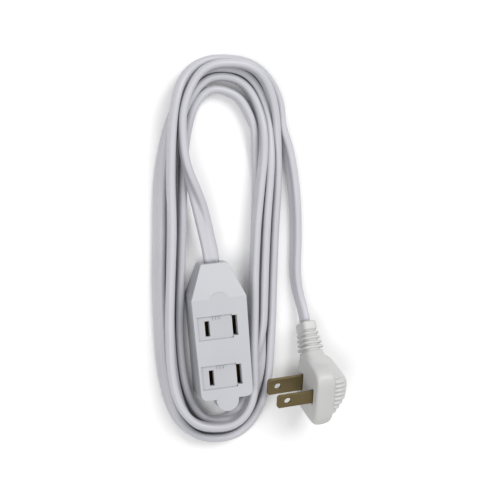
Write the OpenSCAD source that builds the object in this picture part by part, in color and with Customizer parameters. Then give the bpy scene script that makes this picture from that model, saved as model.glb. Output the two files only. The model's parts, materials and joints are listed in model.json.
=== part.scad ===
// Household extension cord: a flat two-outlet tap with sliding safety shutters, a flat
// two-conductor cord wound into an oval coil round the tap, and an angled flat plug.
// The tap lies on its back with the outlets facing +Z and its cord end towards +Y.
// Origin: centre of the tap's footprint, on the surface it lies on. Units: millimetres.

/* [Tap] */
// Width across the tap's shoulder
tap_w = 25.4; // [24.6:0.1:26]
// Thickness from back to front face
tap_h = 19; // [18.6:0.1:20]
// Length of the straight part of the tap
flat_len = 45.8; // [45.8:0.1:47]
// Length of the tapered shoulder
shoulder_len = 15.5; // [15:0.1:18]
// How much each side draws in towards the tab end
side_draft = 0.7; // [0.2:0.1:0.9]
// Width of the cord end
neck_w = 12.5; // [12:0.1:14]
// Thickness of the cord end
neck_h = 11; // [10:0.1:13]
// Radius of the half-round tab and tongue
tab_r = 5.2; // [4.5:0.1:6]
// Reach of the tab beyond the body
tab_out = 5.7; // [5.4:0.1:6.4]
// Wall thickness of both housing halves
wall = 1.6; // [1.4:0.1:1.8]

/* [Outlets] */
// Distance between the two outlets
outlet_pitch = 22.4; // [22:0.1:23]
// Distance between the two blades of a plug
blade_gap = 12.7; // [12.7]
// Length of the neutral slot
neutral_slot = 9.2; // [8.4:0.1:9.4]
// Length of the hot slot
hot_slot = 7; // [6.8:0.1:7.4]
// Width of both slots
slot_w = 2.2; // [1.9:0.1:2.4]
// Travel of a safety shutter
shutter_travel = 3.2; // [2.6:0.1:3.2]
// Height of the shutter window
window_h = 10.8; // [10:0.1:11]

/* [Plug] */
// Thickness of the plug between its two narrow sides
plug_w = 25; // [24:0.5:26]
// Half the length of the plug body along the wall
plug_half = 14.5; // [14:0.5:15]
// Exposed blade length
blade_len = 17; // [16:0.5:18]
// Blade thickness
blade_t = 1.5; // [1.5]
// Width of the neutral blade
neutral_blade_w = 7.9; // [7.9]
// Width of the hot blade
hot_blade_w = 6.3; // [6.3]
// Angle at which the cord leaves the plug
exit_angle = 40; // [35:1:45]

/* [Cord] */
// Diameter of one insulated conductor
lobe_d = 3.6; // [3.5:0.02:3.6]
// Distance between the two conductors
lobe_gap = 3.66; // [3.64:0.02:3.7]
// Half the outer length of the oval coil
coil_a = 87.5; // [87:0.5:90]
// Half the outer width of the oval coil
coil_b = 29.5; // [29.5:0.5:32]
// Lean of the coil's long axis towards +X
coil_lean = 7; // [6:0.5:8]

/* [Hidden] */
$fn = 48;

eps = 0.01;
white = "white";
cord_white = "gainsboro";
brass = "darkgoldenrod";
copper = "peru";

// Tap: lengthwise stations and heights
tap_len = tab_out + flat_len + shoulder_len;
end_y = -tap_len / 2 + tab_out;
shoulder_y = end_y + flat_len;
neck_y = tap_len / 2;
seam_z = tap_h / 2;
corner_r = 3;
base_draft = 0.7;
lip = 0.7;
tab_t = 7;
tongue_t = 3;
tongue_out = 2.6;
post_r = 2;
outlet_y = [-17.4 + outlet_pitch, -17.4];
slot_x = blade_gap / 2;
neutral_shift = 0.2;
hot_shift = -0.3;

// Shutter pocket under the face, and the guide plate behind it
face_t = 0.9;
shutter_t = 1;
slide_gap = 0.1;
pocket_z = tap_h - face_t - shutter_t - 2 * slide_gap;
window_x0 = -10.9;
window_x1 = slot_x - slot_w / 2;
shutter_x0 = window_x0 - 0.25;
shutter_h = window_h + 1.2;
slide_room = 0.15;
guide_t = 1.6;

post_y = [outlet_y[1] + outlet_pitch / 2, 11];

// Contacts, bus strips and terminals
leaf_t = 0.5;
leaf_gap = 1.7;
contact_len = 6;
contact_z = wall + 0.1;
contact_h = 13;
bus_t = 0.6;
bus_h = 7;
bus_x = slot_x + leaf_gap / 2 + leaf_t + bus_t / 2;
terminal_y = 15;
terminal_len = 4;
barrel_r = 1.5;
core_r = 0.9;
rivet_r = 0.8;
rivet_head_r = 1.4;
rivet_head_t = 0.5;
clamp_y = 26;
clamp_len = 4;
clamp_half = [5, 4];
strip_y = 20.5;

// Cord
lobe_r = lobe_d / 2;
lobe_x = lobe_gap / 2;
cord_w = lobe_gap + lobe_d;
exit_r = lobe_r + 0.08;

// Plug: wall face centre between the blades, and how the plug lies on its narrow side
plug_at = [38, -29, 16];
plug_lean = 22;
plug_pitch = 5;
plug_depth = 15.4;
exit_x = 5;
exit_y = 2;
relief_start = 13;
relief_end = 29;
head_start = 24.6;
rib_start = 16;
rib_count = 4;
rib_pitch = 2.2;
rib_t = 1.3;
rib_half = [5, 6.3];
rib_taper = [0.3, 0.1];
head_half = [3.6, 6];
sleeve_half = [3, 4.2];
insert_x = 1;
insert_t = 2;
insert_w = 12;
insert_h = 19;
collar_x = 0.6;
collar_t = 8.8;
foot_x = 6;
lead_start = 6;
lead_stop = relief_end - 0.5;
face_corner_r = 6;
back_r = 5.4;
back_y = 4.6;
foot_r = 2.6;
groove_count = 7;
groove_pitch = 2.2;
groove_x = 10;
groove_y = -6;
groove_r = 0.7;
barrel_y0 = -1;
barrel_y1 = 3.5;
bead_r = 1.2;

// Coil: centre and shape of its oval, and how many conductors lie side by side
coil_at = [5.5, 38.5];
coil_power = 3;
coil_steps = 96;
layer_h = cord_w;
coil_lanes = 4;
low_lanes = 3;
top_layer_y = 88;
left_layer_x = 8;

// Route of the cord between the tap and the coil: x, y, z and the turn of its flat side,
// 0 when it lies flat and 90 when it stands on edge
tap_route = [
    [0, 33.5, 9.5, 0],
    [0, 37, 9.5, 0],
    [-0.8, 43, 9.4, 2],
    [-1.8, 50, 9.4, 8],
    [-3, 57.5, 9.8, 25],
    [-4.8, 65.5, 10.6, 50],
    [-6.8, 73, 11.2, 75],
    [-8.2, 80, 11.4, 90],
    [-8.7, 87, 11.4, 90]
];

// Route between the coil and the plug
plug_route = [
    [39.2, 92.5, 3.8, 98],
    [41.2, 84, 3.8, 106],
    [42.3, 76, 3.8, 108],
    [42.9, 67, 3.7, 110],
    [43, 57, 3.7, 110],
    [42.5, 46, 3.7, 110],
    [41.5, 35, 3.7, 110],
    [40.4, 26, 3.7, 108],
    [40.4, 18, 3.8, 106],
    [41.1, 12, 4.3, 102],
    [42.1, 6.4, 5.5, 98],
    [42.2, 0.4, 7.4, 95]
];

// ---- shared shapes -------------------------------------------------------------------

// Points of an arc, from angle a0 to a1
function arc(centre, r, a0, a1, steps = 6) =
    [for (i = [0:steps]) centre + r * [cos(a0 + (a1 - a0) * i / steps), sin(a0 + (a1 - a0) * i / steps)]];

// Plan of the tap, drawn in from the outside by inset
function tap_plan(inset) =
    let (
        end_x = tap_w / 2 - side_draft - inset,
        side_x = tap_w / 2 - inset,
        neck_x = neck_w / 2 - inset,
        r = corner_r - inset,
        y0 = end_y + inset
    )
    concat(
        arc([-end_x + r, y0 + r], r, 180, 270),
        arc([end_x - r, y0 + r], r, 270, 360),
        [[side_x, shoulder_y], [neck_x, neck_y - inset], [-neck_x, neck_y - inset], [-side_x, shoulder_y]]
    );

// End view of the tap, as x and z: the sides draw in below the lip at the seam
function tap_end_view(inset) =
    let (
        base_x = tap_w / 2 - base_draft - inset,
        lip_x = tap_w / 2 - lip - inset,
        top_x = tap_w / 2 - inset
    )
    [
        [-base_x, 0], [base_x, 0], [lip_x, seam_z - 2 * lip], [top_x, seam_z],
        [top_x, tap_h], [-top_x, tap_h], [-top_x, seam_z], [-lip_x, seam_z - 2 * lip]
    ];

// Side view of the tap, as y and z
function tap_side(inset) =
    let (z0 = seam_z - neck_h / 2 + inset, z1 = seam_z + neck_h / 2 - inset)
    [
        [end_y, inset], [shoulder_y, inset], [neck_y, z0],
        [neck_y, z1], [shoulder_y, tap_h - inset], [end_y, tap_h - inset]
    ];

module tap_solid(inset = 0) {
    intersection() {
        linear_extrude(tap_h) polygon(tap_plan(inset));
        rotate([90, 0, 90]) linear_extrude(2 * tap_w, center = true) polygon(tap_side(inset));
        rotate([90, 0, 0]) linear_extrude(2 * tap_len, center = true) polygon(tap_end_view(inset));
    }
}

module slab(z0, z1) {
    translate([-tap_w, -tap_len, z0]) cube([2 * tap_w, 2 * tap_len, z1 - z0]);
}

// A straight round rod from p to q
module rod(p, q, r) {
    v = q - p;
    translate(p)
        rotate([0, acos(v.z / norm(v)), atan2(v.y, v.x)])
            cylinder(r = r, h = norm(v));
}

// Box that spans x0..x1, y0..y1 and z0..z1
module span(x0, x1, y0, y1, z0, z1) {
    translate([x0, y0, z0]) cube([x1 - x0, y1 - y0, z1 - z0]);
}

module cord_exit(y0, y1) {
    for (side = [-1, 1])
        rod([side * lobe_x, y0, seam_z], [side * lobe_x, y1, seam_z], exit_r);
    span(-lobe_x, lobe_x, y0, y1, seam_z - 1, seam_z + 1);
}

// ---- tap -----------------------------------------------------------------------------

module rear_housing() {
    color(white)
    difference() {
        union() {
            difference() {
                intersection() {
                    tap_solid();
                    slab(0, seam_z);
                }
                intersection() {
                    tap_solid(wall);
                    slab(wall, seam_z + eps);
                }
            }
            // Posts that carry the shutter guide
            for (y = post_y)
                translate([0, y, wall - eps])
                    cylinder(r = post_r, h = pocket_z - guide_t - wall + eps);
        }
        cord_exit(neck_y - 3, neck_y + 1);
    }
}

module front_housing() {
    color(white)
    difference() {
        union() {
            intersection() {
                tap_solid();
                slab(seam_z, tap_h);
            }
            // Half-round tab beyond the end, and the tongue on the shoulder
            translate([0, -tap_len / 2 + tab_r, tap_h - tab_t]) cylinder(r = tab_r, h = tab_t);
            translate([0, shoulder_y + tongue_out - tab_r, tap_h - tongue_t])
                cylinder(r = tab_r, h = tongue_t);
        }
        intersection() {
            tap_solid(wall);
            slab(seam_z - eps, pocket_z);
        }
        for (y = outlet_y) {
            // Pocket in which the shutter slides, its window and the neutral slot
            span(
                shutter_x0 - slide_room, window_x1 + shutter_travel + 0.25,
                y - shutter_h / 2 - slide_room, y + shutter_h / 2 + slide_room,
                pocket_z - eps, tap_h - face_t
            );
            span(
                window_x0, window_x1 + eps,
                y - window_h / 2, y + window_h / 2,
                pocket_z, tap_h + 1
            );
            span(
                window_x1, window_x1 + slot_w,
                y + neutral_shift - neutral_slot / 2, y + neutral_shift + neutral_slot / 2,
                pocket_z, tap_h + 1
            );
        }
        cord_exit(neck_y - 3, neck_y + 1);
    }
}

module shutter_guide() {
    color(white)
    difference() {
        translate([0, 0, pocket_z - guide_t])
            linear_extrude(guide_t)
                intersection() {
                    polygon(tap_plan(wall + 0.1));
                    translate([-tap_w, end_y]) square([2 * tap_w, flat_len - 3]);
                }
        for (y = outlet_y) {
            span(
                slot_x - slot_w / 2, slot_x + slot_w / 2,
                y + neutral_shift - neutral_slot / 2, y + neutral_shift + neutral_slot / 2,
                0, tap_h
            );
            span(
                -slot_x - slot_w / 2, -slot_x + slot_w / 2,
                y + hot_shift - hot_slot / 2, y + hot_shift + hot_slot / 2,
                0, tap_h
            );
        }
    }
}

// Sliding plate with the hot slot in it; at +X travel it covers both contacts
module shutter(y) {
    color(white) {
        difference() {
            span(
                shutter_x0, window_x1,
                y - shutter_h / 2, y + shutter_h / 2,
                pocket_z + slide_gap, pocket_z + slide_gap + shutter_t
            );
            span(
                -slot_x - slot_w / 2, -slot_x + slot_w / 2,
                y + hot_shift - hot_slot / 2, y + hot_shift + hot_slot / 2,
                0, tap_h
            );
        }
        // Three small grip ridges for a fingernail
        for (i = [0:2])
            span(
                -3.6 + 1.5 * i, -3 + 1.5 * i,
                y + window_h / 2 - 1.7, y + window_h / 2 - 0.5,
                pocket_z + shutter_t, tap_h - 0.4
            );
    }
}

module upper_shutter() shutter(outlet_y[0]);

module lower_shutter() shutter(outlet_y[1]);

// Folded brass clip: two leaves with a flared mouth, joined at the bottom
module contact(side, y) {
    outer = leaf_gap / 2 + leaf_t;
    color(brass)
    translate([side * slot_x, y, contact_z])
        difference() {
            rotate([90, 0, 0])
                linear_extrude(contact_len, center = true)
                    polygon([
                        [-outer, 0], [outer, 0], [outer, contact_h - 1.5],
                        [outer + 0.5, contact_h], [outer, contact_h],
                        [leaf_gap / 2, contact_h - 1.5], [leaf_gap / 2, leaf_t],
                        [-leaf_gap / 2, leaf_t], [-leaf_gap / 2, contact_h - 1.5],
                        [-outer, contact_h], [-outer - 0.5, contact_h], [-outer, contact_h - 1.5]
                    ]);
            rod([0, 0, seam_z - contact_z], [side * 4, 0, seam_z - contact_z], rivet_r);
        }
}

module upper_hot_contact() contact(-1, outlet_y[0]);

module lower_hot_contact() contact(-1, outlet_y[1]);

module upper_neutral_contact() contact(1, outlet_y[0]);

module lower_neutral_contact() contact(1, outlet_y[1]);

// Brass strip along a row of contacts, ending in a crimp barrel round the copper
module bus(side) {
    bend_y = 12;
    end_x = lobe_x + barrel_r + bus_t / 2 - 0.1;
    run_y = outlet_y[1] - contact_len / 2;
    slant = atan2(bus_x - end_x, terminal_y - bend_y);
    slant_len = norm([bus_x - end_x, terminal_y - bend_y]);
    color(brass)
    mirror([side < 0 ? 1 : 0, 0, 0])
    difference() {
        union() {
            translate([bus_x - bus_t / 2, run_y, seam_z - bus_h / 2])
                cube([bus_t, bend_y - run_y, bus_h]);
            translate([bus_x, bend_y, seam_z - bus_h / 2])
                rotate([0, 0, slant])
                    translate([-bus_t / 2, 0, 0]) cube([bus_t, slant_len, bus_h]);
            translate([end_x - bus_t / 2, terminal_y, seam_z - bus_h / 2])
                cube([bus_t, terminal_len, bus_h]);
            rod([lobe_x, terminal_y, seam_z], [lobe_x, terminal_y + terminal_len, seam_z], barrel_r);
        }
        rod([lobe_x, terminal_y - 1, seam_z], [lobe_x, terminal_y + terminal_len + 1, seam_z], core_r);
        for (y = outlet_y)
            rod([bus_x - 2, y, seam_z], [bus_x + 2, y, seam_z], rivet_r);
    }
}

module hot_bus() bus(-1);

module neutral_bus() bus(1);

module contact_rivets() {
    inner_x = slot_x + leaf_gap / 2;
    head_x = bus_x + bus_t / 2;
    color(brass)
    for (side = [-1, 1], y = outlet_y) {
        rod([side * inner_x, y, seam_z], [side * head_x, y, seam_z], rivet_r);
        rod([side * head_x, y, seam_z], [side * (head_x + rivet_head_t), y, seam_z], rivet_head_r);
    }
}

module cord_clamp() {
    color(white)
    difference() {
        span(
            -clamp_half.x, clamp_half.x,
            clamp_y, clamp_y + clamp_len,
            seam_z - clamp_half.y, seam_z + clamp_half.y
        );
        for (side = [-1, 1])
            rod(
                [side * lobe_x, clamp_y - 1, seam_z],
                [side * lobe_x, clamp_y + clamp_len + 1, seam_z],
                lobe_r
            );
    }
}

module tap_insulation(side) {
    color(cord_white)
    difference() {
        rod([side * lobe_x, strip_y, seam_z], [side * lobe_x, neck_y, seam_z], lobe_r);
        rod([side * lobe_x, strip_y - 1, seam_z], [side * lobe_x, neck_y + 1, seam_z], core_r);
    }
}

module tap_hot_insulation() tap_insulation(-1);

module tap_neutral_insulation() tap_insulation(1);

module tap_core(side) {
    color(copper) rod([side * lobe_x, terminal_y, seam_z], [side * lobe_x, neck_y, seam_z], core_r);
}

module tap_hot_core() tap_core(-1);

module tap_neutral_core() tap_core(1);

// ---- plug ----------------------------------------------------------------------------
// Built with its wall face in the plane x = 0, its blades towards -X and the hot side up,
// then laid down on its narrow side.

module place_plug() {
    translate(plug_at) rotate([plug_lean, plug_pitch, 0]) children();
}

// From here +Y runs out along the cord
module place_exit() {
    translate([exit_x, exit_y, 0]) rotate([-exit_angle, 0, 0]) children();
}

module blade_plate(side, width) {
    hole_x = -blade_len + 4.9;
    hole_r = 1.6;
    chamfer = 0.8;
    difference() {
        translate([0, 0, side * slot_x - blade_t / 2])
            linear_extrude(blade_t)
                polygon([
                    [-blade_len, -width / 2 + chamfer], [-blade_len + chamfer, -width / 2],
                    [exit_x - barrel_r + 0.1, -width / 2], [exit_x - barrel_r + 0.1, width / 2],
                    [-blade_len + chamfer, width / 2], [-blade_len, width / 2 - chamfer]
                ]);
        rod([hole_x, 0, side * slot_x - 2], [hole_x, 0, side * slot_x + 2], hole_r);
    }
}

module blade(side, width) {
    z = side * slot_x;
    difference() {
        union() {
            blade_plate(side, width);
            rod([exit_x, barrel_y0, z], [exit_x, barrel_y1, z], barrel_r);
        }
        rod([exit_x, barrel_y0 - 1, z], [exit_x, barrel_y1 + 6, z], core_r);
    }
}

module plug_neutral_blade() {
    color(brass) place_plug() blade(-1, neutral_blade_w);
}

module plug_hot_blade() {
    color(brass) place_plug() blade(1, hot_blade_w);
}

// Rigid bridge that holds the blades in line inside the moulded body
module insert_shape() {
    difference() {
        span(insert_x, insert_x + insert_t, -insert_w / 2, insert_w / 2, -insert_h / 2, insert_h / 2);
        blade_plate(-1, neutral_blade_w);
        blade_plate(1, hot_blade_w);
    }
}

module plug_insert() {
    color("dimgray") place_plug() insert_shape();
}

// Where an insulated lead ends inside the plug, in the plug's own frame
function lead_end(side) =
    [
        exit_x,
        exit_y + lead_start * cos(exit_angle) + side * lobe_x * sin(exit_angle),
        -lead_start * sin(exit_angle) + side * lobe_x * cos(exit_angle)
    ];

module lead_core(side) {
    place_exit()
        rod([0, lead_start, side * lobe_x], [0, lead_stop, side * lobe_x], core_r);
    translate(lead_end(side)) sphere(r = bead_r);
    rod(lead_end(side), [exit_x, barrel_y1 + 1, side * slot_x], core_r);
    translate([exit_x, barrel_y1 + 1, side * slot_x]) sphere(r = bead_r);
    rod([exit_x, barrel_y0, side * slot_x], [exit_x, barrel_y1 + 1, side * slot_x], core_r);
}

module plug_lead_core(side) {
    color(copper)
    place_plug() lead_core(side);
}

module plug_hot_core() plug_lead_core(1);

module plug_neutral_core() plug_lead_core(-1);

module lead_insulation(side) {
    place_exit()
        difference() {
            rod([0, lead_start + 2, side * lobe_x], [0, lead_stop, side * lobe_x], lobe_r);
            rod([0, lead_start, side * lobe_x], [0, relief_end, side * lobe_x], core_r);
        }
}

module plug_hot_insulation() {
    color(cord_white) place_plug() lead_insulation(1);
}

module plug_neutral_insulation() {
    color(cord_white) place_plug() lead_insulation(-1);
}

// Outline of the plug seen from the wall, as y and z
module plug_face() {
    corner_y = plug_half - face_corner_r;
    corner_z = plug_w / 2 - face_corner_r;
    hull() {
        for (y = [-corner_y, corner_y], z = [-corner_z, corner_z])
            translate([y, z]) circle(r = face_corner_r);
        translate([exit_y, 0]) rotate(-exit_angle) translate([relief_start - 3.6, 0])
            circle(r = 5, $fn = 32);
    }
}

// Outline of the plug seen from its narrow side, as x and y
module plug_profile() {
    union() {
        hull() {
            translate([plug_depth - back_r, back_y]) circle(r = back_r, $fn = 64);
            translate([foot_x, -plug_half + foot_r]) circle(r = foot_r, $fn = 32);
            translate([0, -plug_half]) square([4, 2 * plug_half]);
        }
        translate([collar_x, 0]) square([collar_t, 2 * plug_half]);
    }
}

module plug_shell() {
    intersection() {
        linear_extrude(2 * plug_w, center = true) plug_profile();
        rotate([90, 0, 90]) linear_extrude(2 * plug_w, center = true) plug_face();
    }
}

module plug_body() {
    color(white)
    place_plug()
        difference() {
            plug_shell();
            insert_shape();
            for (side = [-1, 1]) {
                lead_core(side);
                place_exit() rod([0, lead_start + 2, side * lobe_x], [0, 24, side * lobe_x], lobe_r);
                rod(
                    [exit_x, barrel_y0, side * slot_x],
                    [exit_x, barrel_y1, side * slot_x],
                    barrel_r
                );
            }
            blade_plate(-1, neutral_blade_w);
            blade_plate(1, hot_blade_w);
            place_exit() relief_shape();
            // Finger grooves on both narrow sides
            for (side = [-1, 1], i = [0:groove_count - 1])
                rod(
                    [groove_x, groove_y + groove_pitch * i, side * (plug_w / 2 + 0.3)],
                    [plug_depth + 1, groove_y + groove_pitch * i, side * (plug_w / 2 + 0.3)],
                    groove_r
                );
        }
}

// Box centred on the cord's line, y0..y1 along it
module sleeve(half_x, half_z, y0, y1) {
    span(-half_x, half_x, y0, y1, -half_z, half_z);
}

// Ribbed sleeve with a square head where the cord leaves the plug; the ribs narrow outwards
module relief_shape() {
    sleeve(sleeve_half.x, sleeve_half.y, relief_start, relief_end);
    sleeve(head_half.x, head_half.y, head_start, relief_end);
    for (i = [0:rib_count - 1])
        let (y = rib_start + rib_pitch * i, half = rib_half - i * rib_taper)
        sleeve(half.x, half.y, y, y + rib_t);
}

module plug_strain_relief() {
    color(white)
    place_plug() place_exit()
        difference() {
            relief_shape();
            for (side = [-1, 1])
                rod([0, 10, side * lobe_x], [0, 40, side * lobe_x], lobe_r);
        }
}

// ---- cord ----------------------------------------------------------------------------

// Oval outline of the coil, drawn in by inset: a rounded rectangle of power 3
function signed_power(v, p) = sign(v) * pow(abs(v), p);

function coil_point(angle, inset) =
    let (
        across = (coil_b - inset) * signed_power(cos(angle), 2 / coil_power),
        along = (coil_a - inset) * signed_power(sin(angle), 2 / coil_power)
    )
    coil_at + [
        across * cos(coil_lean) + along * sin(coil_lean),
        along * cos(coil_lean) - across * sin(coil_lean)
    ];

// The turns lie four abreast, and three abreast beside the tap's lower right corner
function coil_width(angle) =
    let (low = max(0, cos(angle - 300)))
    lobe_d * (coil_lanes - (coil_lanes - low_lanes) * min(1, 1.6 * low));

function coil_outline(inset) =
    [for (i = [0:coil_steps - 1]) coil_point(360 * i / coil_steps, inset)];

function coil_hole(extra) =
    [for (i = [0:coil_steps - 1])
        let (angle = 360 * i / coil_steps)
        coil_point(angle, coil_width(angle) + extra)];

module coil_ring(outer_inset, inner_extra, z0, z1) {
    translate([0, 0, z0])
        linear_extrude(z1 - z0)
            difference() {
                polygon(coil_outline(outer_inset));
                polygon(coil_hole(inner_extra));
            }
}

// Outer shape of the wound turns, with a second layer over the top end, and where the last
// turn lies on the others round the bottom and up the left side
module cord_coil() {
    color(cord_white) {
        coil_ring(0, 0, 0, layer_h);
        intersection() {
            coil_ring(lobe_d / 2, -lobe_d / 2, layer_h, 2 * layer_h);
            union() {
                span(-60, 60, top_layer_y, 140, layer_h, 2 * layer_h);
                span(-60, left_layer_x, -60, top_layer_y + eps, layer_h, 2 * layer_h);
            }
        }
    }
}

function cross3(a, b) = [a.y * b.z - a.z * b.y, a.z * b.x - a.x * b.z, a.x * b.y - a.y * b.x];

function unit(v) = v / norm(v);

// Ring of the flat cord's oval outline at route point i
function cord_ring(route, i, sides) =
    let (
        here = [route[i].x, route[i].y, route[i].z],
        last = len(route) - 1,
        before = route[max(0, i - 1)],
        after = route[min(last, i + 1)],
        ahead = unit([after.x - before.x, after.y - before.y, after.z - before.z]),
        level = unit(cross3(ahead, [0, 0, 1])),
        raised = cross3(level, ahead),
        turn = route[i][3],
        wide = level * cos(turn) + raised * sin(turn),
        thin = raised * cos(turn) - level * sin(turn)
    )
    [for (k = [0:sides - 1])
        let (a = 360 * k / sides)
        here + wide * cos(a) * cord_w / 2 + thin * sin(a) * lobe_d / 2];

// Solid that follows a route, closed at both ends
module cord_solid(route, sides = 12) {
    rings = len(route);
    points = [for (i = [0:rings - 1]) each cord_ring(route, i, sides)];
    sides_faces = [for (i = [0:rings - 2], k = [0:sides - 1])
        let (
            here = i * sides,
            ahead = here + sides,
            n = (k + 1) % sides
        )
        each [[here + k, here + n, ahead + n], [here + k, ahead + n, ahead + k]]];
    start_face = [for (k = [sides - 1:-1:0]) k];
    end_face = [for (k = [0:sides - 1]) (rings - 1) * sides + k];
    polyhedron(points, concat(sides_faces, [start_face, end_face]));
}

module cord_tap_end() {
    color(cord_white) cord_solid(tap_route);
}

module cord_plug_end() {
    color(cord_white) cord_solid(plug_route);
}

// ---- nodes ---------------------------------------------------------------------------

rear_housing();
front_housing();
shutter_guide();
upper_shutter();
lower_shutter();
hot_bus();
neutral_bus();
upper_hot_contact();
lower_hot_contact();
upper_neutral_contact();
lower_neutral_contact();
contact_rivets();
cord_clamp();
tap_hot_insulation();
tap_neutral_insulation();
tap_hot_core();
tap_neutral_core();
plug_body();
plug_insert();
plug_neutral_blade();
plug_hot_blade();
plug_hot_insulation();
plug_neutral_insulation();
plug_hot_core();
plug_neutral_core();
plug_strain_relief();
cord_tap_end();
cord_coil();
cord_plug_end();
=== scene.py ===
import json
import math

import bmesh
import bpy
from mathutils import Matrix, Vector


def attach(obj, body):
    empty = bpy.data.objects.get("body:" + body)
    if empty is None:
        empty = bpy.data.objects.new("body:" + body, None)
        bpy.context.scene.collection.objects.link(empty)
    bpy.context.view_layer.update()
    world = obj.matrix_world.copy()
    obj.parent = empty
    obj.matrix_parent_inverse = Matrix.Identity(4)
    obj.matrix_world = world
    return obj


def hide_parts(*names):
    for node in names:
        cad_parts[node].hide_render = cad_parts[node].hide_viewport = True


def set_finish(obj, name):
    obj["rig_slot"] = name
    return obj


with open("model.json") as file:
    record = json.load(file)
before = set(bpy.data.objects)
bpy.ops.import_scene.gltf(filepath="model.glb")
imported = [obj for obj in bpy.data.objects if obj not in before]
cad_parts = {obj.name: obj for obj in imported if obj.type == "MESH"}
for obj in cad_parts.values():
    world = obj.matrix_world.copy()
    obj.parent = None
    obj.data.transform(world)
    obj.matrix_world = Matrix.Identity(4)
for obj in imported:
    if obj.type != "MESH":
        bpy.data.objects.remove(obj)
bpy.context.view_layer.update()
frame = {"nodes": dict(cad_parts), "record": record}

MM = 0.001
ROOT = "cord_and_tap"


# ---- camera ----------------------------------------------------------------------------

VIEW_TARGET = Vector((0.01945, 0.0367, 0.005))
VIEW_DISTANCE = 0.6
VIEW_FIELD = 0.23
TILT_LEFT = math.radians(14)
TILT_UP = math.radians(4.5)
VIEW_ROLL = math.radians(5)


def make_camera():
    across = Vector((math.cos(VIEW_ROLL), -math.sin(VIEW_ROLL), 0))
    upward = Vector((math.sin(VIEW_ROLL), math.cos(VIEW_ROLL), 0))
    back = Vector((0, 0, 1)) - math.tan(TILT_LEFT) * across + math.tan(TILT_UP) * upward
    back.normalize()
    up = (upward - back * upward.dot(back)).normalized()
    right = up.cross(back)
    turn = Matrix((right, up, back)).transposed().to_4x4()
    data = bpy.data.cameras.new("camera")
    data.angle = 2 * math.atan(VIEW_FIELD / 2 / VIEW_DISTANCE)
    data.clip_start = 0.01
    data.clip_end = 20
    camera = bpy.data.objects.new("camera", data)
    camera.matrix_world = Matrix.Translation(VIEW_TARGET + back * VIEW_DISTANCE) @ turn
    bpy.context.collection.objects.link(camera)
    bpy.context.scene.camera = camera


make_camera()


# ---- cord ------------------------------------------------------------------------------

LOBE_R = 1.8 * MM
LOBE_X = 1.83 * MM

# From the tap to the coil: x, y, z and the turn of the flat side in degrees
TAP_ROUTE = [
    (0, 0.0335, 0.0095, 0),
    (0, 0.037, 0.0095, 0),
    (-0.0008, 0.043, 0.0094, 2),
    (-0.0018, 0.05, 0.0094, 8),
    (-0.003, 0.0575, 0.0098, 25),
    (-0.0048, 0.0655, 0.0106, 50),
    (-0.0068, 0.073, 0.0112, 75),
    (-0.0082, 0.08, 0.0114, 90),
    (-0.0087, 0.087, 0.0114, 90),
]

# From the coil to the plug
PLUG_ROUTE = [
    (0.0392, 0.0925, 0.0038, 98),
    (0.0412, 0.084, 0.0038, 106),
    (0.0423, 0.076, 0.0038, 108),
    (0.0429, 0.067, 0.0037, 110),
    (0.043, 0.057, 0.0037, 110),
    (0.0425, 0.046, 0.0037, 110),
    (0.0415, 0.035, 0.0037, 110),
    (0.0404, 0.026, 0.0037, 108),
    (0.0404, 0.018, 0.0038, 106),
    (0.0411, 0.012, 0.0043, 102),
    (0.0421, 0.0064, 0.0055, 98),
    (0.0422, 0.0004, 0.0074, 95),
]

# Oval of the coil
COIL_AT = (0.0055, 0.0385)
COIL_A = 0.0875
COIL_B = 0.0295
COIL_POWER = 3
COIL_LEAN = math.radians(7)

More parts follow.
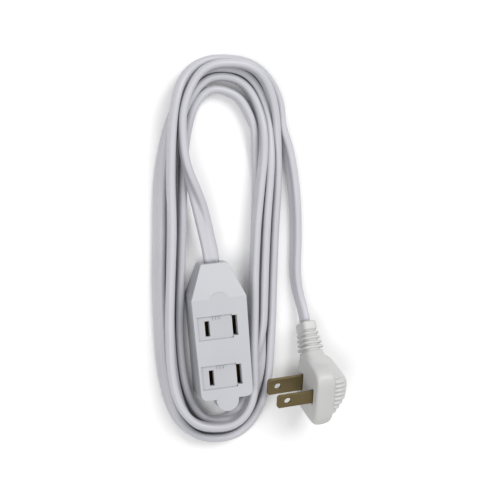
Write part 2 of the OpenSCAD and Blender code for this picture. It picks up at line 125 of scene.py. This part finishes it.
# The winding, clockwise from the left side: degrees, inset from the oval in millimetres,
# height in millimetres and turn of the flat side. The turn runs on below zero where the
# cord rolls over, because half a turn brings the flat cord back to the same outline.
WINDING = [
    # Over the top of the coil, then down to the outside of the right run
    (29, 7.3, 11.3, 90), (41, 4.6, 11.2, 90), (60, 4.0, 11.0, 90), (85, 3.4, 10.9, 90),
    (105, 2.7, 10.4, 90), (120, 2.2, 9.4, 90), (135, 2.1, 7.6, 90), (150, 2.4, 5.2, 90),
    (165, 2.8, 3.7, 90), (181, 4.0, 3.7, 90), (200, 2.9, 3.7, 90), (222, 0.8, 3.7, 90),
    (250, 0.6, 3.7, 90), (270, 0.0, 3.7, 90), (285, 1.2, 3.7, 85), (310, 2.1, 3.5, 65),
    (340, 2.3, 3.4, 58), (358, 1.5, 3.4, 56),
    # Second turn: inwards at the top, middle of the right run, where it flattens on the
    # third, then both roll up on edge side by side at the bottom
    (371, 0.7, 3.4, 58), (385, 1.2, 3.6, 70), (402, 2.8, 3.7, 90), (418, 4.4, 3.7, 90),
    (450, 5.2, 3.7, 90), (470, 5.6, 3.7, 90), (490, 5.3, 3.7, 90), (505, 5.7, 4.4, 90),
    (520, 7.0, 7.2, 90), (541, 9.0, 7.4, 90), (556, 8.2, 7.3, 86), (566, 7.8, 6.1, 45),
    (576, 7.4, 5.5, 0), (592, 7.4, 5.6, 0), (602, 7.6, 6.1, -25), (612, 8.0, 5.9, -50),
    (621, 8.3, 4.9, -75), (630, 8.3, 3.8, -90),
    (640, 9.4, 3.7, -90), (655, 10.8, 3.7, -90), (700, 10.9, 3.7, -90), (719, 11.6, 3.7, -90),
    # Third turn: innermost at the top, then flat underneath, second from outside on the left
    (731, 11.2, 3.7, -90), (750, 10.2, 3.7, -90), (763, 10.2, 3.7, -90),
    (784, 11.9, 3.7, -90), (800, 13.4, 3.7, -90), (814, 15.8, 3.7, -90),
    (840, 14.8, 3.7, -90), (857, 12.8, 3.7, -90), (870, 11.2, 2.9, -155),
    (885, 10.8, 1.9, -180), (901, 11.0, 1.9, -180), (925, 9.0, 1.9, -180),
    (945, 7.3, 1.9, -180), (953, 7.0, 2.0, -182), (962, 6.1, 2.8, -205),
    (972, 5.3, 3.4, -230), (981, 4.8, 3.7, -255), (990, 4.5, 3.7, -270),
    (1010, 5.3, 3.7, -270), (1030, 6.5, 3.7, -270), (1060, 7.0, 3.7, -270),
    (1078, 6.2, 3.7, -270),
    # Fourth turn: inside of the right run, over the flattened two, then on top of the
    # others round the bottom
    (1091, 5.4, 3.7, -270), (1106, 5.6, 3.7, -270), (1122, 6.6, 3.7, -270),
    (1138, 8.1, 3.7, -270), (1170, 8.9, 3.7, -270), (1185, 9.6, 3.7, -270),
    (1200, 9.2, 3.8, -270), (1210, 9.1, 4.8, -270), (1220, 9.0, 6.8, -270),
    (1232, 9.7, 7.5, -270), (1248, 12.2, 7.5, -270), (1261, 13.6, 7.5, -270),
    (1275, 13.0, 8.5, -270), (1286, 12.6, 10.3, -270), (1297, 10.8, 11.1, -270),
    (1310, 7.8, 11.6, -270), (1322, 7.3, 12.5, -270), (1338, 7.0, 12.5, -270),
    (1348, 6.6, 11.7, -270), (1358, 6.2, 11.1, -270),
    (1367, 5.9, 11.0, -270), (1382, 5.1, 11.0, -270), (1399, 4.6, 11.0, -270),
    (1422, 5.3, 11.0, -270), (1440, 5.8, 11.0, -270), (1451, 4.3, 11.0, -270),
    (1468, 2.2, 11.0, -270), (1480, 0.6, 11.0, -270),
    # Down on the outside at the top, then out to the plug
    (1492, -0.2, 9.6, -270), (1509, 0.7, 5.4, -270), (1519, 0.8, 3.8, -270),
    (1530, 0.8, 3.7, -270), (1545, 0.5, 3.7, -270), (1560, -0.6, 3.7, -270),
    (1575, -1.7, 3.7, -268), (1585, -1.9, 3.7, -266),
]
# Whole twist, in degrees, that the cord has taken by the end of the coil
TWIST = -360
TURN_STEP = 4


def signed_power(value, power):
    return math.copysign(abs(value) ** power, value)


def coil_point(clockwise, inset):
    """Point of the coil's oval, drawn in by inset, at that many degrees from its left side."""
    angle = math.pi - math.radians(clockwise)
    across = (COIL_B - inset) * signed_power(math.cos(angle), 2 / COIL_POWER)
    along = (COIL_A - inset) * signed_power(math.sin(angle), 2 / COIL_POWER)
    return (
        COIL_AT[0] + across * math.cos(COIL_LEAN) + along * math.sin(COIL_LEAN),
        COIL_AT[1] + along * math.cos(COIL_LEAN) - across * math.sin(COIL_LEAN),
    )


def slopes(keys, values):
    """Slope at each key of a smooth curve through the values that never overshoots them."""
    steps = [(b - a) / (q - p) for a, b, p, q in zip(values, values[1:], keys, keys[1:])]
    inner = [2 * a * b / (a + b) if a * b > 0 else 0 for a, b in zip(steps, steps[1:])]
    return [steps[0]] + inner + [steps[-1]]


def smooth_curve(keys, values):
    """Function that passes smoothly through the values at the keys."""
    slope = slopes(keys, values)

    def at(key):
        i = max(k for k in range(len(keys) - 1) if k == 0 or keys[k] <= key)
        width = keys[i + 1] - keys[i]
        t = (key - keys[i]) / width
        return (
            values[i] * (1 + 2 * t) * (1 - t) ** 2
            + values[i + 1] * t * t * (3 - 2 * t)
            + width * slope[i] * t * (1 - t) ** 2
            + width * slope[i + 1] * t * t * (t - 1)
        )

    return at


def coil_route():
    """Knots of the wound part of the cord, one every few degrees of its four turns."""
    keys, *columns = zip(*WINDING)
    inset, height, turn = (smooth_curve(keys, column) for column in columns)
    route = []
    clockwise = keys[0] + TURN_STEP
    while clockwise < keys[-1]:
        x, y = coil_point(clockwise, inset(clockwise) * MM)
        route.append((x, y, height(clockwise) * MM, turn(clockwise)))
        clockwise += TURN_STEP
    return route


def catmull_rom(a, b, c, d, share):
    """Point between b and c on a smooth curve that runs through a, b, c and d."""
    return [
        0.5 * (2 * q + (r - p) * share + (2 * p - 5 * q + 4 * r - s) * share**2
               + (3 * q - p - 3 * r + s) * share**3)
        for p, q, r, s in zip(a, b, c, d)
    ]


def resampled(knots, spacing):
    """Points along a smooth curve through the knots, about spacing apart."""
    ends = [knots[0]] + list(knots) + [knots[-1]]
    fine = []
    for i in range(1, len(ends) - 2):
        span = math.dist(ends[i][:3], ends[i + 1][:3])
        steps = max(2, round(span / (0.2 * spacing)))
        fine += [catmull_rom(*ends[i - 1:i + 3], k / steps) for k in range(steps)]
    fine.append(list(knots[-1]))
    total = sum(math.dist(a[:3], b[:3]) for a, b in zip(fine, fine[1:]))
    count = round(total / spacing)
    points = [fine[0]]
    walked = 0
    for a, b in zip(fine, fine[1:]):
        step = math.dist(a[:3], b[:3])
        while len(points) < count and walked + step >= len(points) * total / count:
            share = (len(points) * total / count - walked) / step
            points.append([p + (q - p) * share for p, q in zip(a, b)])
        walked += step
    points.append(fine[-1])
    return points


def smoothed(points, rounds):
    """Evens out the run of points, both ends held where they are."""
    for _ in range(rounds):
        points = [points[0]] + [
            [(p + 2 * q + r) / 4 for p, q, r in zip(*points[i - 1:i + 2])]
            for i in range(1, len(points) - 1)
        ] + [points[-1]]
    return points


def zip_cord_outline(steps=11, waist=0.3):
    """Outline of the flat cord: two round lobes with a groove on each side between them."""
    outline = []
    for side in (1, -1):
        for i in range(steps):
            angle = math.radians(-128 + 256 * i / (steps - 1))
            outline.append((
                side * (LOBE_X + LOBE_R * math.cos(angle)),
                side * LOBE_R * math.sin(angle),
            ))
        outline.append((0, side * LOBE_R * (1 - waist)))
    return outline


def new_object(name, mesh):
    piece = bpy.data.objects.new(name, mesh)
    bpy.context.collection.objects.link(piece)
    return piece


def shade_smooth(mesh):
    for face in mesh.polygons:
        face.use_smooth = True


def shade_by_angle(mesh, limit):
    """Smooth shading that keeps edges sharper than the limit crisp."""
    shade_smooth(mesh)
    mesh.set_sharp_from_angle(angle=math.radians(limit))


def swept(name, points, outline):
    """Closed mesh of an outline swept along points that each carry a turn in degrees."""
    vertices = []
    count = len(outline)
    for i, point in enumerate(points):
        before = Vector(points[max(0, i - 1)][:3])
        after = Vector(points[min(len(points) - 1, i + 1)][:3])
        ahead = (after - before).normalized()
        level = ahead.cross(Vector((0, 0, 1))).normalized()
        raised = level.cross(ahead)
        turn = math.radians(point[3])
        wide = level * math.cos(turn) + raised * math.sin(turn)
        thin = raised * math.cos(turn) - level * math.sin(turn)
        vertices += [Vector(point[:3]) + wide * u + thin * v for u, v in outline]
    faces = []
    for i in range(len(points) - 1):
        for k in range(count):
            n = (k + 1) % count
            faces.append((i * count + k, (i + 1) * count + k, (i + 1) * count + n, i * count + n))
    faces.append(tuple(range(count)))
    faces.append(tuple((len(points) - 1) * count + k for k in reversed(range(count))))
    mesh = bpy.data.meshes.new(name)
    mesh.from_pydata(vertices, [], faces)
    mesh.validate()
    shade_smooth(mesh)
    return new_object(name, mesh)


cord_end = [(x, y, z, turn + TWIST) for x, y, z, turn in PLUG_ROUTE]
cord_points = smoothed(resampled(TAP_ROUTE + coil_route() + cord_end, 2.2 * MM), 4)
cord = swept("zip_cord", cord_points, zip_cord_outline())
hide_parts("cord_tap_end", "cord_coil", "cord_plug_end")
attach(cord, ROOT)
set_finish(cord, "cord_white")


# ---- moulded pieces --------------------------------------------------------------------

# The plug's own frame: wall face in the plane x = 0, blades towards -X, hot side up
PLUG_PLACE = (
    Matrix.Translation((0.038, -0.029, 0.016))
    @ Matrix.Rotation(math.radians(5), 4, "Y")
    @ Matrix.Rotation(math.radians(22), 4, "X")
)
# The cord's line out of the plug, +Y outwards
EXIT_IN_PLUG = (
    Matrix.Translation((0.005, 0.002, 0)) @ Matrix.Rotation(math.radians(-40), 4, "X")
)
BLADE_Z = 6.35 * MM
BLADE_SIDES = ((-1, 7.9 * MM), (1, 6.3 * MM))
BLADE_ROOM = 0.9 * MM
DIMPLE = (-11.5 * MM, -6.5 * MM)
DIMPLE_HALF = 0.45 * MM

# Plug body: depth from the wall, lowest and highest y, and half the thickness, millimetres
BODY_STATIONS = [
    (0.0, -13.3, 13.4, 11.7), (0.6, -14.1, 14.0, 12.4), (1.6, -14.5, 14.2, 12.7),
    (3.0, -14.6, 14.3, 12.8), (5.2, -14.5, 14.3, 12.8), (7.2, -13.9, 14.1, 12.8),
    (8.3, -12.3, 13.6, 12.8), (8.5, -11.9, 13.4, 11.7), (10.4, -8.8, 12.8, 11.6),
    (12.4, -5.4, 11.8, 11.4), (14.0, -2.8, 10.6, 10.9), (15.2, -0.4, 9.0, 10.0),
    (15.7, 1.4, 7.4, 8.6),
]
# Neck between the body and its sleeve: distance along the cord, shift away from the wall,
# half depth and half thickness
NECK_STATIONS = [
    (2, 1.6, 6.5, 11.6), (6, 1.0, 6.0, 10.6), (10, 0.5, 5.4, 8.6), (13, 0.1, 4.9, 7.0),
    (15.2, 0, 4.6, 6.1),
]
BODY_POWER = 5
# Ribbed sleeve round the cord, millimetres: its taper as distance along the cord, half depth
# and half thickness, then its ribs and its square head
SLEEVE_TAPER = ((13.5, 4.0, 5.6), (19, 3.6, 5.3), (25.5, 3.2, 5.2))
RIB_COUNT = 4
RIB_START = 16
RIB_PITCH = 2.2
RIB_THICKNESS = 1.3
RIB_HALF = (5, 6.3)
RIB_TAPER = (0.3, 0.1)
RIB_EDGE = 0.45
HEAD_SPAN = (24.6, 29)
HEAD_HALF = (3.6, 6.1)
HEAD_EDGE = 0.7
SOFT_POWER = 3.2
GRIP_RIBS = 9
GRIP_START = 8.9
GRIP_END = 14.8
GRIP_EDGE = 1.4
GRIP_FIRST_Y = -6.6
GRIP_PITCH = 2.2
# Share of a grip rib's length and its radius there, in millimetres
GRIP_PROFILE = ((0, 0.2), (0.06, 0.6), (0.15, 0.75), (0.5, 0.8), (0.8, 0.7), (0.93, 0.5), (1, 0.2))
GRIP_STEP = 0.1
# Grain of the remeshing that melts the lofts together, millimetres: finer is crisper
BODY_GRAIN = 0.4
GRIP_GRAIN = 0.33
SLEEVE_GRAIN = 0.24
# Cutters for the recesses round the blades and for the dimple, millimetres from the wall
CUT_START = -1
RECESS_DEPTH = 2.6
RECESS_HALF = 1.3
DIMPLE_DEPTH = 1.5


def rounded_ring(half_u, half_v, power, count=48):
    """Closed outline between an ellipse (power 2) and a rectangle (high powers)."""
    ring = []
    for i in range(count):
        angle = 2 * math.pi * i / count
        ring.append((
            half_u * signed_power(math.cos(angle), 2 / power),
            half_v * signed_power(math.sin(angle), 2 / power),
        ))
    return ring


def add_loft(build, rings):
    """Adds a closed skin through rings of equal length, given as lists of points."""
    count = len(rings[0])
    rows = [[build.verts.new(point) for point in ring] for ring in rings]
    for here, ahead in zip(rows, rows[1:]):
        for k in range(count):
            n = (k + 1) % count
            build.faces.new((here[k], here[n], ahead[n], ahead[k]))
    build.faces.new(list(reversed(rows[0])))
    build.faces.new(rows[-1])


def finished(name, build, place):
    bmesh.ops.recalc_face_normals(build, faces=build.faces[:])
    mesh = bpy.data.meshes.new(name)
    build.to_mesh(mesh)
    build.free()
    mesh.transform(place)
    shade_smooth(mesh)
    return new_object(name, mesh)


def apply_modifiers(piece):
    """Keeps what the modifiers make of a piece, and drops them."""
    seen = piece.evaluated_get(bpy.context.evaluated_depsgraph_get())
    mesh = bpy.data.meshes.new_from_object(seen)
    piece.modifiers.clear()
    old = piece.data
    piece.data = mesh
    bpy.data.meshes.remove(old)


def melt(piece, voxel, rounds):
    """Fuses overlapping skins into one and rounds it off."""
    remesh = piece.modifiers.new("fuse", "REMESH")
    remesh.mode = "VOXEL"
    remesh.voxel_size = voxel
    relax = piece.modifiers.new("round", "SMOOTH")
    relax.factor = 0.5
    relax.iterations = rounds
    apply_modifiers(piece)
    shade_smooth(piece.data)


def cut(piece, cutter):
    """Takes the cutter's space out of the piece."""
    carve = piece.modifiers.new("cut", "BOOLEAN")
    carve.operation = "DIFFERENCE"
    carve.solver = "EXACT"
    carve.object = cutter
    apply_modifiers(piece)
    bpy.data.objects.remove(cutter)


def body_ring(station):
    depth, low, high, half = (value * MM for value in station)
    middle = (low + high) / 2
    return [(depth, middle + u, v) for u, v in rounded_ring((high - low) / 2, half, BODY_POWER)]


def body_section(depth):
    """Lowest y, highest y and half thickness of the plug body at a depth from the wall."""
    columns = list(zip(*BODY_STATIONS))
    return [smooth_curve(columns[0], column)(depth) for column in columns[1:]]


def body_height(depth, y):
    """Height of the plug's narrow side above its middle plane."""
    low, high, half = body_section(depth)
    share = abs(2 * y - low - high) / (high - low)
    return half * (1 - share**BODY_POWER) ** (1 / BODY_POWER)


def rib_end(y):
    """Depth at which a rib at y runs out at the back of the plug."""
    depth = GRIP_START
    while depth < GRIP_END:
        low, high, _ = body_section(depth)
        if y < low + GRIP_EDGE or y > high - GRIP_EDGE:
            break
        depth += GRIP_STEP
    return depth


def grip_rib(build, side, y):
    """One rounded rib across the back of a narrow side, thin at both ends."""
    end = rib_end(y)
    rings = []
    for share, radius in GRIP_PROFILE:
        depth = GRIP_START + (end - GRIP_START) * share
        z = body_height(depth, y)
        rings.append([
            (depth * MM, (y + u) * MM, side * (z + v) * MM)
            for u, v in rounded_ring(radius, radius, 2, 12)
        ])
    add_loft(build, rings)


def sleeve_rings(half_x, half_z, start, end, edge):
    """Rings of a block with rounded edges along the cord's line, in millimetres."""
    rings = []
    for along, inset in ((start, edge), (start + 0.3 * edge, 0.3 * edge), (start + edge, 0),
                         (end - edge, 0), (end - 0.3 * edge, 0.3 * edge), (end, edge)):
        rings.append([
            (u * MM, along * MM, v * MM)
            for u, v in rounded_ring(half_x - inset, half_z - inset, 5)
        ])
    return rings


def make_plug_body():
    shell = bmesh.new()
    add_loft(shell, [body_ring(station) for station in BODY_STATIONS])
    neck = [
        [
            EXIT_IN_PLUG @ Vector(((out + u) * MM, along * MM, v * MM))
            for u, v in rounded_ring(deep, thick, SOFT_POWER)
        ]
        for along, out, deep, thick in NECK_STATIONS
    ]
    add_loft(shell, neck)
    body = finished("plug_moulding", shell, Matrix())
    melt(body, BODY_GRAIN * MM, 5)
    ribbed = bmesh.new()
    ribbed.from_mesh(body.data)
    for side in (-1, 1):
        for i in range(GRIP_RIBS):
            grip_rib(ribbed, side, GRIP_FIRST_Y + GRIP_PITCH * i)
    bpy.data.objects.remove(body)
    body = finished("plug_moulding", ribbed, Matrix())
    melt(body, GRIP_GRAIN * MM, 2)
    for side, width in BLADE_SIDES:
        cut(body, make_block(
            (CUT_START * MM, -width / 2 - BLADE_ROOM, side * BLADE_Z - RECESS_HALF * MM),
            (RECESS_DEPTH * MM, width / 2 + BLADE_ROOM, side * BLADE_Z + RECESS_HALF * MM),
        ))
    cut(body, make_block(
        (CUT_START * MM, DIMPLE[0] - DIMPLE_HALF, DIMPLE[1] - DIMPLE_HALF),
        (DIMPLE_DEPTH * MM, DIMPLE[0] + DIMPLE_HALF, DIMPLE[1] + DIMPLE_HALF),
    ))
    body.data.transform(PLUG_PLACE)
    shade_by_angle(body.data, 35)
    return body


def make_block(low, high):
    """Plain cutter between two corners."""
    block = bmesh.new()
    add_loft(block, [
        [(x, low[1], low[2]), (x, high[1], low[2]), (x, high[1], high[2]), (x, low[1], high[2])]
        for x in (low[0], high[0])
    ])
    return finished("cutter", block, Matrix())


def make_strain_relief():
    sleeve = bmesh.new()
    taper = [
        [(u * MM, along * MM, v * MM) for u, v in rounded_ring(deep, thick, SOFT_POWER)]
        for along, deep, thick in SLEEVE_TAPER
    ]
    add_loft(sleeve, taper)
    for i in range(RIB_COUNT):
        along = RIB_START + RIB_PITCH * i
        half = [whole - i * less for whole, less in zip(RIB_HALF, RIB_TAPER)]
        add_loft(sleeve, sleeve_rings(*half, along, along + RIB_THICKNESS, RIB_EDGE))
    add_loft(sleeve, sleeve_rings(*HEAD_HALF, *HEAD_SPAN, HEAD_EDGE))
    relief = finished("ribbed_sleeve", sleeve, Matrix())
    melt(relief, SLEEVE_GRAIN * MM, 4)
    relief.data.transform(PLUG_PLACE @ EXIT_IN_PLUG)
    return relief


plug_moulding = make_plug_body()
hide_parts("plug_body")
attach(plug_moulding, ROOT)
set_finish(plug_moulding, "plug_white")

ribbed_sleeve = make_strain_relief()
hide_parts("plug_strain_relief")
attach(ribbed_sleeve, ROOT)
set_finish(ribbed_sleeve, "plug_white")


# Folds sharper than this many degrees show as a line, and past the second they are rounded
FLAT_LIMIT = 11
EDGE_LIMIT = 25
# Corners of the boxes round the shutter windows and the tongue, whose edges stay sharp
CRISP_ZONES = [
    ((-0.0112, -0.024, 0.0145), (0.0092, 0.0125, 0.0195)),
    ((-0.0055, 0.0165, 0.015), (0.0055, 0.0212, 0.0195)),
]


def in_crisp_zone(point):
    return any(
        all(low < c < high for low, c, high in zip(lowest, point, highest))
        for lowest, highest in CRISP_ZONES
    )


def mark_outer_edges(build):
    """Marks the sharp edges that a mould would leave slightly round."""
    mark = build.edges.layers.float.new("bevel_weight_edge")
    for edge in build.edges:
        middle = (edge.verts[0].co + edge.verts[1].co) / 2
        sharp = edge.is_manifold and edge.calc_face_angle() > math.radians(EDGE_LIMIT)
        if sharp and edge.is_convex and not in_crisp_zone(middle):
            edge[mark] = 1


def flatten_panels(mesh):
    """Shades every many-sided face flat, and leaves the rest as it is."""
    normals = [corner.vector.copy() for corner in mesh.corner_normals]
    for face in mesh.polygons:
        if len(face.vertices) > 4:
            for loop in face.loop_indices:
                normals[loop] = face.normal.copy()
    mesh.normals_split_custom_set(normals)


def eased_copy(node_name, slot, width):
    """A fixed CAD part with its outer edges rounded off."""
    node = frame["nodes"][node_name]
    piece = new_object(node_name + "_eased", node.data.copy())
    piece.matrix_world = node.matrix_world.copy()
    clean = bmesh.new()
    clean.from_mesh(piece.data)
    bmesh.ops.remove_doubles(clean, verts=clean.verts[:], dist=0.001 * MM)
    bmesh.ops.dissolve_limit(
        clean, angle_limit=math.radians(1), verts=clean.verts[:], edges=clean.edges[:],
    )
    mark_outer_edges(clean)
    clean.to_mesh(piece.data)
    clean.free()
    shade_by_angle(piece.data, FLAT_LIMIT)
    ease = piece.modifiers.new("ease", "BEVEL")
    ease.width = width
    ease.segments = 3
    ease.limit_method = "WEIGHT"
    ease.use_clamp_overlap = False
    ease.harden_normals = True
    apply_modifiers(piece)
    flatten_panels(piece.data)
    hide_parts(node_name)
    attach(piece, ROOT)
    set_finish(piece, slot)
    return piece


eased_pieces = [
    eased_copy("front_housing", "tap_white", 0.25 * MM),
    eased_copy("rear_housing", "tap_white", 0.25 * MM),
    eased_copy("plug_neutral_blade", "blade_brass", 0.15 * MM),
    eased_copy("plug_hot_blade", "blade_brass", 0.15 * MM),
]


# ---- materials -------------------------------------------------------------------------


def plain_material(name, color, roughness, metallic=0.0, coat=0.0):
    material = bpy.data.materials.new(name)
    material.use_nodes = True
    shader = material.node_tree.nodes["Principled BSDF"]
    shader.inputs["Base Color"].default_value = (*color, 1)
    shader.inputs["Roughness"].default_value = roughness
    shader.inputs["Metallic"].default_value = metallic
    shader.inputs["Coat Weight"].default_value = coat
    return material


def add_grain(material, scale, bump, color_a, color_b, detail=4.0):
    """Fine grain in a material: bump and a slight drift of colour between two tones."""
    nodes = material.node_tree.nodes
    links = material.node_tree.links
    shader = nodes["Principled BSDF"]
    place = nodes.new("ShaderNodeTexCoord")
    noise = nodes.new("ShaderNodeTexNoise")
    noise.inputs["Scale"].default_value = scale
    noise.inputs["Detail"].default_value = detail
    links.new(place.outputs["Object"], noise.inputs["Vector"])
    relief = nodes.new("ShaderNodeBump")
    relief.inputs["Strength"].default_value = bump
    relief.inputs["Distance"].default_value = 0.00005
    links.new(noise.outputs["Fac"], relief.inputs["Height"])
    links.new(relief.outputs["Normal"], shader.inputs["Normal"])
    drift = nodes.new("ShaderNodeTexNoise")
    drift.inputs["Scale"].default_value = 45
    drift.inputs["Detail"].default_value = 2
    links.new(place.outputs["Object"], drift.inputs["Vector"])
    ramp = nodes.new("ShaderNodeValToRGB")
    ramp.color_ramp.elements[0].position = 0.35
    ramp.color_ramp.elements[0].color = (*color_a, 1)
    ramp.color_ramp.elements[1].position = 0.65
    ramp.color_ramp.elements[1].color = (*color_b, 1)
    links.new(drift.outputs["Fac"], ramp.inputs["Fac"])
    links.new(ramp.outputs["Color"], shader.inputs["Base Color"])
    return material


def grained(name, color, roughness, scale=900, bump=0.25, spread=0.02, **more):
    lighter = tuple(min(1, c + spread) for c in color)
    darker = tuple(c - spread for c in color)
    return add_grain(plain_material(name, color, roughness, **more), scale, bump, darker, lighter)


CORD_VINYL = grained("cord_vinyl", (0.50, 0.50, 0.535), 0.38, scale=500, bump=0.15, spread=0.012)
TAP_PLASTIC = grained("tap_plastic", (0.47, 0.475, 0.50), 0.5, scale=1400, bump=0.3, spread=0.01)
SHUTTER_PLASTIC = grained(
    "shutter_plastic", (0.45, 0.455, 0.48), 0.5, scale=1400, bump=0.3, spread=0.01,
)
PLUG_VINYL = grained("plug_vinyl", (0.52, 0.52, 0.515), 0.45, scale=1100, bump=0.25, spread=0.012)
BRASS = grained("brass", (0.50, 0.39, 0.18), 0.32, scale=700, bump=0.2, spread=0.05, metallic=1.0)
BLADE_BRASS = grained(
    "blade_brass", (0.25, 0.195, 0.09), 0.48, scale=900, bump=0.25, spread=0.02, metallic=1.0,
)
COPPER = grained("copper", (0.60, 0.30, 0.16), 0.4, scale=2500, bump=0.4, spread=0.05, metallic=1.0)
INNER_PLASTIC = grained("inner_plastic", (0.35, 0.35, 0.36), 0.6, scale=900, bump=0.3, spread=0.02)


def paint(piece, material):
    piece.data.materials.clear()
    piece.data.materials.append(material)


MATERIAL_OF_SLOT = {
    "tap_white": TAP_PLASTIC,
    "shutter_white": SHUTTER_PLASTIC,
    "brass": BRASS,
    "blade_brass": BLADE_BRASS,
    "clamp_grey": INNER_PLASTIC,
    "cord_white": CORD_VINYL,
    "copper": COPPER,
    "plug_white": PLUG_VINYL,
}

for entry in frame["record"]["subparts"]:
    node = frame["nodes"][entry["node"]]
    for place in node.material_slots:
        place.material = MATERIAL_OF_SLOT[entry["material_slot"]]

for piece in (cord, plug_moulding, ribbed_sleeve, *eased_pieces):
    paint(piece, MATERIAL_OF_SLOT[piece["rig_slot"]])


# ---- floor and light -------------------------------------------------------------------


def make_floor():
    size = 3
    mesh = bpy.data.meshes.new("floor")
    mesh.from_pydata(
        [(-size, -size, 0), (size, -size, 0), (size, size, 0), (-size, size, 0)],
        [], [(0, 1, 2, 3)],
    )
    floor = new_object("floor", mesh)
    paint(floor, plain_material("floor_paper", (0.95, 0.95, 0.95), 0.9))
    floor.location.z = -0.0003


def add_light(name, place, aim, size, power):
    data = bpy.data.lights.new(name, "AREA")
    data.shape = "DISK"
    data.size = size
    data.energy = power
    light = bpy.data.objects.new(name, data)
    light.location = place
    light.rotation_euler = (Vector(aim) - Vector(place)).to_track_quat("-Z", "Y").to_euler()
    bpy.context.collection.objects.link(light)


make_floor()
CENTRE = (0.012, 0.038, 0.0)
add_light("key_light", (0.55, 0.6, 1.1), CENTRE, 0.9, 11.3)
add_light("fill_light", (-0.7, -0.2, 1.2), CENTRE, 0.9, 8.2)
world = bpy.data.worlds.new("studio")
world.use_nodes = True
world.node_tree.nodes["Background"].inputs["Color"].default_value = (1, 1, 1, 1)
world.node_tree.nodes["Background"].inputs["Strength"].default_value = 0.45
bpy.context.scene.world = world
bpy.context.scene.view_settings.view_transform = "Standard"
